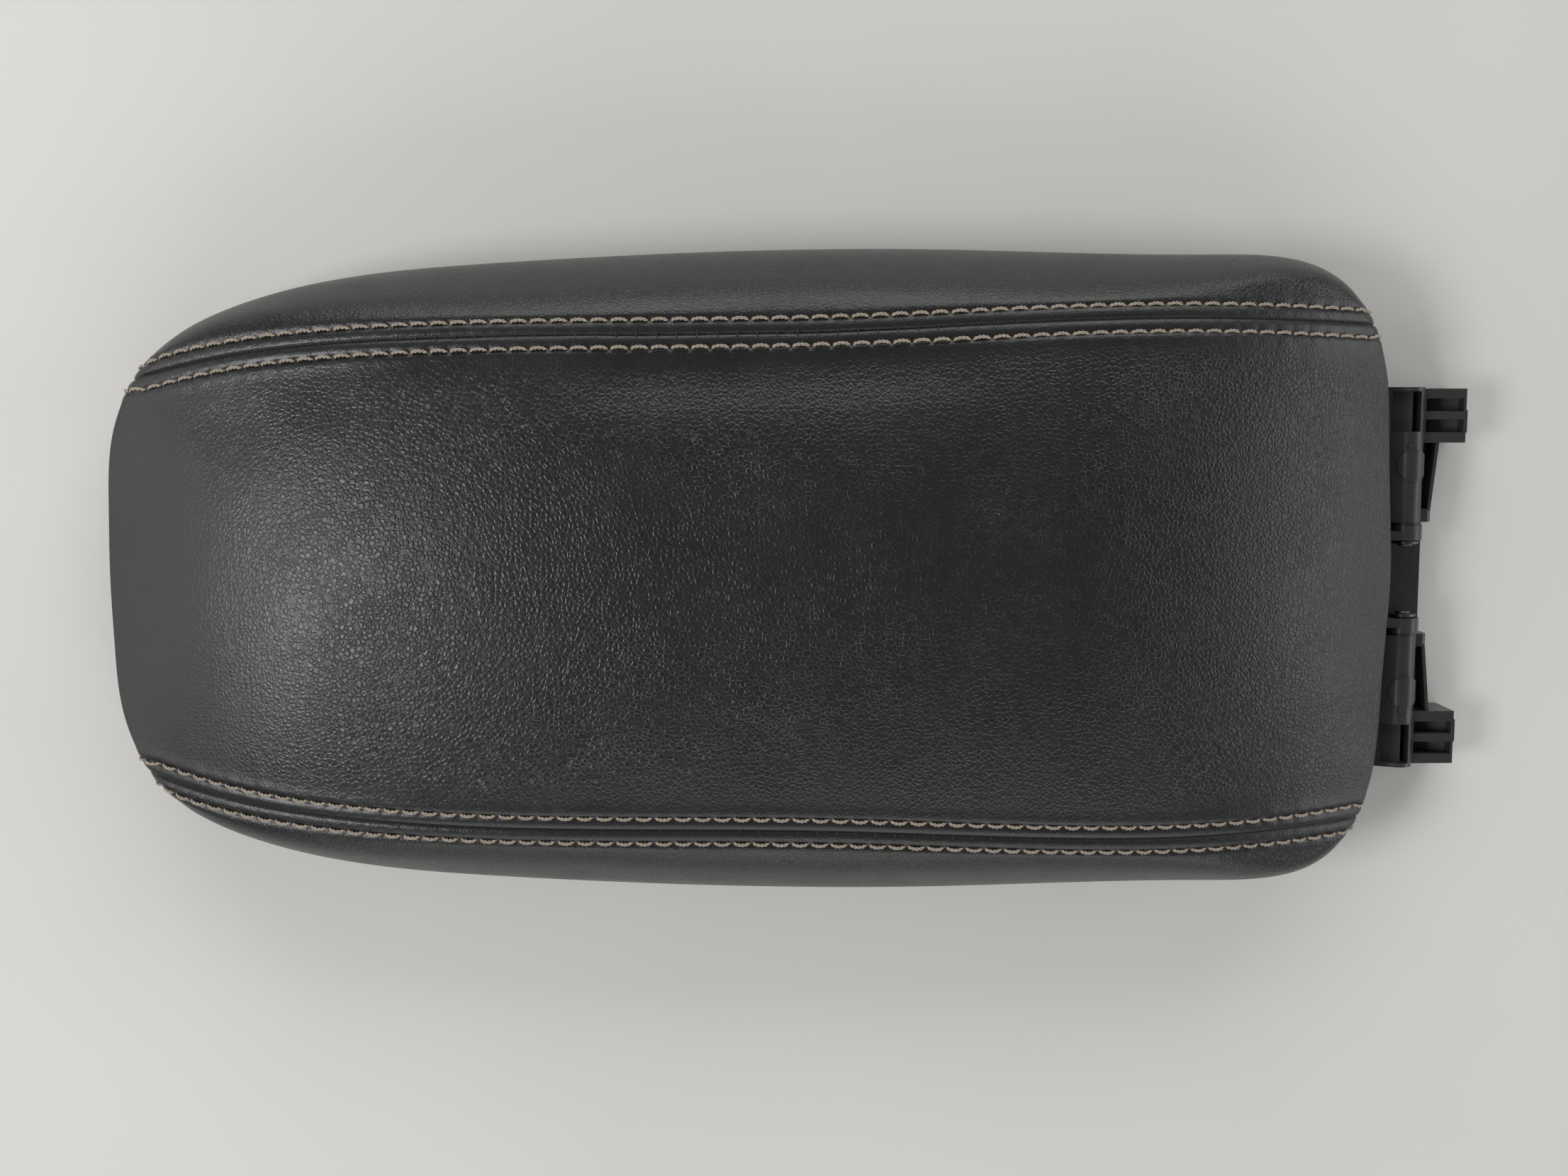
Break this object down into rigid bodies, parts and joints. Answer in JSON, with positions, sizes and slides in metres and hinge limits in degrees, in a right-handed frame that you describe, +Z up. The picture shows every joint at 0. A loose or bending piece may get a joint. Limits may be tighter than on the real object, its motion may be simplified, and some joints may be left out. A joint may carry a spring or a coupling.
{
  "type": "console armrest lid",
  "caption": "Padded, topstitched console armrest lid with a crowned leatherette cover, a twin-barrel rear hinge bracket and a sprung finger latch under its front end.",
  "frame": {"origin": "bottom centre of the bounding box, on the plane that the bumpers and the hinge bracket stand on", "axes": "+X towards the hinge end, +Z up out of the padded top, Y = 0 is the lid's plane of symmetry"},
  "size_m": [0.3726, 0.175, 0.058],
  "materials": {
    "leather_center": "pebbled charcoal leatherette, satin",
    "leather_side": "fine-grained charcoal leatherette, satin",
    "thread": "twisted greige polyester thread",
    "foam": "moulded polyurethane foam",
    "core_plastic": "moulded polypropylene, matt",
    "liner_plastic": "fine-textured moulded plastic",
    "hinge_plastic": "black glass-filled nylon, semi-gloss",
    "lever_plastic": "black nylon, satin",
    "steel": "zinc-plated",
    "zinc_screw": "zinc-plated",
    "dark_steel": "black phosphated steel",
    "black_acetal": "black acetal",
    "acetal": "natural acetal",
    "rubber": "matt black rubber"
  },
  "bodies": {
    "bracket": {"hinge_bracket": "hinge_plastic", "hinge_base": "steel", "hinge_pin_left": "dark_steel", "hinge_pin_right": "dark_steel", "pin_clip_left": "dark_steel", "pin_clip_right": "dark_steel"},
    "lid": {"skin_center_panel": "leather_center", "skin_side_left": "leather_side", "skin_side_right": "leather_side", "topstitch_outer_left": "thread", "topstitch_outer_right": "thread", "topstitch_inner_left": "thread", "topstitch_inner_right": "thread", "foam_pad": "foam", "lid_core": "core_plastic", "lid_frame": "core_plastic", "liner_standoffs": "acetal", "lid_liner": "liner_plastic", "liner_screws": "zinc_screw", "hinge_arm_screws": "zinc_screw", "rubber_bumpers": "rubber", "hinge_bush_left": "black_acetal", "hinge_bush_right": "black_acetal", "hinge_washer_left": "black_acetal", "hinge_washer_right": "black_acetal", "hinge_arm_left": "hinge_plastic", "hinge_arm_right": "hinge_plastic", "latch_housing": "core_plastic", "latch_pin": "steel", "latch_spring": "steel"},
    "latch": {"latch_lever": "lever_plastic"}
  },
  "joints": [
    {"name": "lid_hinge", "type": "hinge", "parent": "bracket", "child": "lid", "pos_m": [0.1693, -0.0024, 0.0136], "axis": [0, 1, 0], "range_deg": [0, 90]},
    {"name": "latch_pivot", "type": "hinge", "parent": "lid", "child": "latch", "pos_m": [-0.1521, 0, 0.0095], "axis": [0, 1, 0], "range_deg": [0, 12], "stiffness_Nm_per_rad": 0.05, "springref_deg": -11.46}
  ]
}
